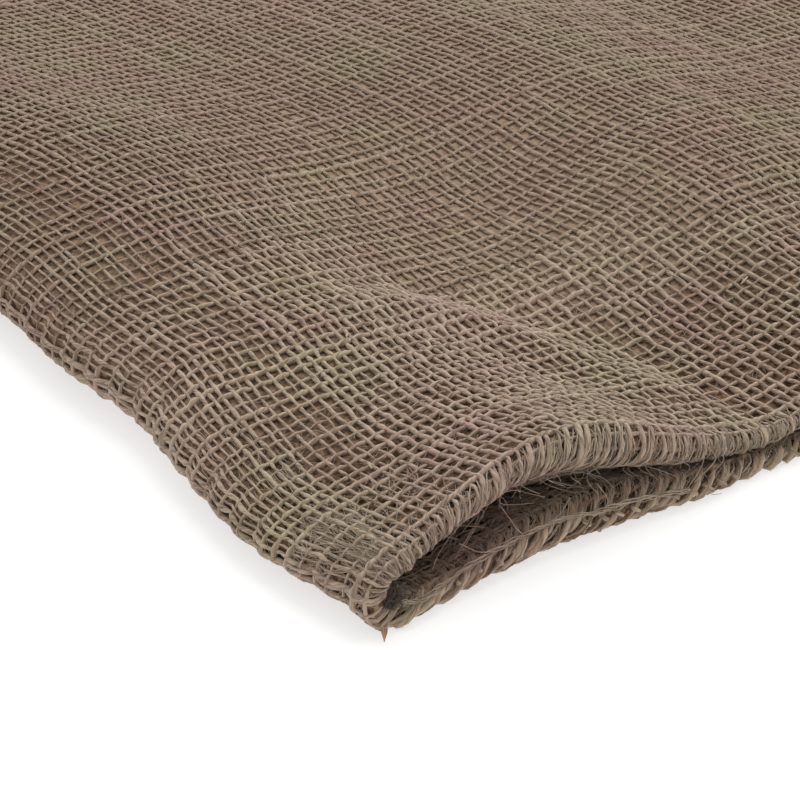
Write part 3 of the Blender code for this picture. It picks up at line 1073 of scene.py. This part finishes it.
# ---- Materials ----
def link_math(tree, operation, *values):
    """A math node on sockets or numbers, and its output."""
    node = tree.nodes.new("ShaderNodeMath")
    node.operation = operation
    for socket, value in zip(node.inputs, values):
        if isinstance(value, (int, float)):
            socket.default_value = value
        else:
            tree.links.new(value, socket)
    return node.outputs["Value"]


def join_vector(tree, *parts):
    """A vector whose first coordinates are these outputs."""
    node = tree.nodes.new("ShaderNodeCombineXYZ")
    for part, socket in zip(parts, node.inputs):
        tree.links.new(part, socket)
    return node.outputs["Vector"]


def noise_at(tree, place, scale, detail, roughness=0.5):
    """Noise from 0 to 1 at a place."""
    node = tree.nodes.new("ShaderNodeTexNoise")
    node.inputs["Scale"].default_value = scale
    node.inputs["Detail"].default_value = detail
    node.inputs["Roughness"].default_value = roughness
    tree.links.new(place, node.inputs["Vector"])
    return node.outputs["Fac"]


def mix_colours(tree, factor, first, second, way="MIX"):
    """Two colours mixed. The second may be a plain colour."""
    node = tree.nodes.new("ShaderNodeMix")
    node.data_type = "RGBA"
    node.blend_type = way
    tree.links.new(factor, node.inputs["Factor"])
    tree.links.new(first, node.inputs["A"])
    if isinstance(second, tuple):
        node.inputs["B"].default_value = second
    else:
        tree.links.new(second, node.inputs["B"])
    return node.outputs["Result"]


def attribute(tree, name):
    """A mesh's own numbers, or 0 where the mesh has none."""
    node = tree.nodes.new("ShaderNodeAttribute")
    node.attribute_name = name
    return node.outputs["Fac"]


def new_material(name, roughness, specular=0.5):
    """A material with a Principled shader, and that shader."""
    material = bpy.data.materials.new(name)
    material.use_nodes = True
    shader = material.node_tree.nodes["Principled BSDF"]
    shader.inputs["Roughness"].default_value = roughness
    shader.inputs["Specular IOR Level"].default_value = specular
    return material, shader


def spun_fibre_group():
    """Group: the streaks of fibres that wind round a yarn, each yarn's own shade, and painted shade
    that darkens the cloth away from the near corner.
    """
    name = "Spun fibre"
    if name in bpy.data.node_groups:
        return bpy.data.node_groups[name]
    group = bpy.data.node_groups.new(name, "ShaderNodeTree")
    for label, kind, way in (
        ("Light", "NodeSocketColor", "INPUT"),
        ("Dark", "NodeSocketColor", "INPUT"),
        ("Lightness", "NodeSocketFloat", "INPUT"),
        ("Colour", "NodeSocketColor", "OUTPUT"),
        ("Height", "NodeSocketFloat", "OUTPUT"),
    ):
        group.interface.new_socket(label, in_out=way, socket_type=kind)
    nodes, links = group.nodes, group.links
    given, result = nodes.new("NodeGroupInput"), nodes.new("NodeGroupOutput")

    run = nodes.new("ShaderNodeUVMap")
    run.uv_map = "run"
    split = nodes.new("ShaderNodeSeparateXYZ")
    links.new(run.outputs["UV"], split.inputs["Vector"])
    along = link_math(group, "DIVIDE", split.outputs["X"], RUN_UV)       # millimetres
    turn = link_math(group, "MULTIPLY", split.outputs["Y"], 2 * pi)
    turn = link_math(group, "ADD", turn, link_math(group, "MULTIPLY", along, STREAK_TWIST))

    # Streaks: noise on a cylinder that is stretched along the yarn and twisted
    streak_at = join_vector(
        group,
        link_math(group, "COSINE", turn),
        link_math(group, "SINE", turn),
        link_math(group, "MULTIPLY", along, STREAK_LENGTH),
    )
    streak = noise_at(group, streak_at, 0.8, 3.0, 0.65)

    # Shade: slow noise along the yarn
    shade_at = join_vector(group, link_math(group, "MULTIPLY", along, SHADE_PACE))
    shade = noise_at(group, shade_at, 1.0, 2.0)

    amount = link_math(group, "MULTIPLY", streak, STREAK_CONTRAST)
    amount = link_math(group, "ADD", amount, shade)
    amount = link_math(group, "ADD", amount, STREAK_OFFSET)
    amount = link_math(group, "ADD", amount, given.outputs["Lightness"])

    # Away from the near corner the streaks are fainter, and the cloth is darker: painted shade
    place = nodes.new("ShaderNodeTexCoord")
    away = nodes.new("ShaderNodeVectorMath")
    away.operation = "DISTANCE"
    links.new(place.outputs["Object"], away.inputs[0])
    away.inputs[1].default_value = (-WIDTH / 2 * MM, -LENGTH / 2 * MM, 0.0)
    faint = nodes.new("ShaderNodeMapRange")
    faint.inputs["From Min"].default_value = FAINT_FROM
    faint.inputs["From Max"].default_value = FAINT_TO
    faint.inputs["To Min"].default_value = 1.0
    faint.inputs["To Max"].default_value = FAINTEST
    links.new(away.outputs["Value"], faint.inputs["Value"])
    fainter = faint.outputs["Result"]
    # the blend's middle sinks away from the corner: painted shade
    middle = BLEND_MIDDLE - BLEND_FAR_SHADE
    even = link_math(group, "MULTIPLY_ADD", fainter, BLEND_FAR_SHADE, middle)
    amount = link_math(group, "SUBTRACT", amount, BLEND_MIDDLE)
    amount = link_math(group, "MULTIPLY_ADD", amount, fainter, even)
    blend = mix_colours(group, amount, given.outputs["Dark"], given.outputs["Light"])

    # Hue: patches of the cloth lean to green or to red
    patch = noise_at(group, place.outputs["Object"], HUE_PATCHES, 2.0)
    hue = nodes.new("ShaderNodeHueSaturation")
    lean = link_math(group, "MULTIPLY", patch, HUE_SWING)
    lean = link_math(group, "ADD", lean, HUE_MIDDLE - HUE_SWING / 2)
    links.new(lean, hue.inputs["Hue"])
    links.new(blend, hue.inputs["Color"])
    links.new(hue.outputs["Color"], result.inputs["Colour"])
    links.new(streak, result.inputs["Height"])
    return group


def paint_inside_shade(tree, colour):
    """The colour, darkened with painted shade where the cloth is turned in at the mouth."""
    tint = (*bpy.context.scene.jute_sack.inside, 1.0)
    return mix_colours(tree, attribute(tree, "inside"), colour, tint, "MULTIPLY")


def haze_and_shade_material(settings):
    """Fine brown fibres, darkened as painted shade of the cloth behind them, mottled, lighter where
    they fill the weave's holes.
    """
    material, shader = new_material("jute_haze_and_shade", 0.95, 0.1)
    tree = material.node_tree
    place = tree.nodes.new("ShaderNodeTexCoord")
    mottle = noise_at(tree, place.outputs["Object"], HAZE_MOTTLES, 3.0)
    shades = []
    for colour, shares in zip((settings.haze, settings.filled), HAZE_SHADE_SHARES):
        ramp = tree.nodes.new("ShaderNodeValToRGB")
        for stop, position, share in zip(ramp.color_ramp.elements, HAZE_STOPS, shares):
            stop.position = position
            stop.color = (*[share * part for part in colour], 1.0)
        tree.links.new(mottle, ramp.inputs["Fac"])
        shades.append(ramp.outputs["Color"])
    colour = mix_colours(tree, attribute(tree, "filling"), *shades)
    tree.links.new(paint_inside_shade(tree, colour), shader.inputs["Base Color"])
    return material


def jute_material(name, light, dark, lightness=0.0):
    """Dry, matt jute: twisted fibres in two shades with fine relief between them, darkened by
    painted shade where the cloth turns in at the mouth and away from the near corner.
    """
    material, shader = new_material(name, 0.86, 0.25)
    shader.inputs["Sheen Weight"].default_value = 0.25
    shader.inputs["Sheen Roughness"].default_value = 0.6
    tree = material.node_tree
    fibre = tree.nodes.new("ShaderNodeGroup")
    fibre.node_tree = spun_fibre_group()
    fibre.inputs["Light"].default_value = (*light, 1.0)
    fibre.inputs["Dark"].default_value = (*dark, 1.0)
    fibre.inputs["Lightness"].default_value = lightness
    # painted shade where the cloth turns in at the mouth
    colour = paint_inside_shade(tree, fibre.outputs["Colour"])
    tree.links.new(colour, shader.inputs["Base Color"])
    relief = tree.nodes.new("ShaderNodeBump")
    relief.inputs["Strength"].default_value = 0.8
    relief.inputs["Distance"].default_value = 0.3 * MM
    tree.links.new(fibre.outputs["Height"], relief.inputs["Height"])
    tree.links.new(relief.outputs["Normal"], shader.inputs["Normal"])
    return material


# ---- Stage ----
class JUTESACK_OT_stage(bpy.types.Operator):
    """Set the plain floor, the soft light and the camera"""

    bl_idname = "jutesack.stage"
    bl_label = "Set the stage"
    bl_options = {"REGISTER", "UNDO"}

    def execute(self, context):
        scene = context.scene
        mesh = grid_mesh("floor", (1, 1), 6.0)
        material, shader = new_material("floor", 0.9)
        shader.inputs["Base Color"].default_value = (*scene.jute_sack.floor, 1.0)
        shader.inputs["Emission Color"].default_value = (1.0, 1.0, 1.0, 1.0)
        shader.inputs["Emission Strength"].default_value = FLOOR_GLOW
        mesh.materials.append(material)
        floor = new_object("floor", mesh)

        world = bpy.data.worlds.new("studio")
        world.use_nodes = True
        background = world.node_tree.nodes["Background"]
        background.inputs["Color"].default_value = (1.0, 1.0, 1.0, 1.0)
        background.inputs["Strength"].default_value = SKY
        scene.world = world
        light = bpy.data.lights.new("key", "AREA")
        light.shape = "SQUARE"
        light.size = KEY_SIZE
        light.energy = KEY_POWER
        lamp = new_object("key", light)
        lamp.location = KEY_PLACE
        lamp.rotation_euler = [radians(angle) for angle in KEY_TURN]

        lens = bpy.data.cameras.new("camera")
        lens.lens = CAMERA_LENS
        lens.sensor_width = CAMERA_SENSOR
        camera = new_object("camera", lens)
        camera.location = CAMERA_PLACE
        camera.rotation_euler = [radians(angle) for angle in CAMERA_TURN]
        scene.camera = camera
        scene.view_settings.view_transform = "Standard"
        return {"FINISHED"}


class JUTESACK_PT_panel(bpy.types.Panel):
    """The sack's settings and its steps"""

    bl_idname = "JUTESACK_PT_panel"
    bl_label = "Jute sack"
    bl_space_type = "VIEW_3D"
    bl_region_type = "UI"
    bl_category = "Jute sack"

    def draw(self, context):
        for name in JuteSackSettings.__annotations__:
            self.layout.prop(context.scene.jute_sack, name)
        for step in STEPS:
            self.layout.operator(step.bl_idname)


STEPS = (
    JUTESACK_OT_stage,
    JUTESACK_OT_weave,
    JUTESACK_OT_haze,
    JUTESACK_OT_seams,
    JUTESACK_OT_loose,
    JUTESACK_OT_fuzz,
)
CLASSES = (JuteSackSettings, *STEPS, JUTESACK_PT_panel)


def register():
    for item in CLASSES:
        bpy.utils.register_class(item)
    bpy.types.Scene.jute_sack = bpy.props.PointerProperty(type=JuteSackSettings)


def unregister():
    del bpy.types.Scene.jute_sack
    for item in reversed(CLASSES):
        bpy.utils.unregister_class(item)


def main():
    register()
    bpy.ops.jutesack.stage()
    bpy.ops.jutesack.weave()
    bpy.ops.jutesack.haze()
    bpy.ops.jutesack.seams()
    bpy.ops.jutesack.loose()
    bpy.ops.jutesack.fuzz()


if __name__ == "__main__":
    main()
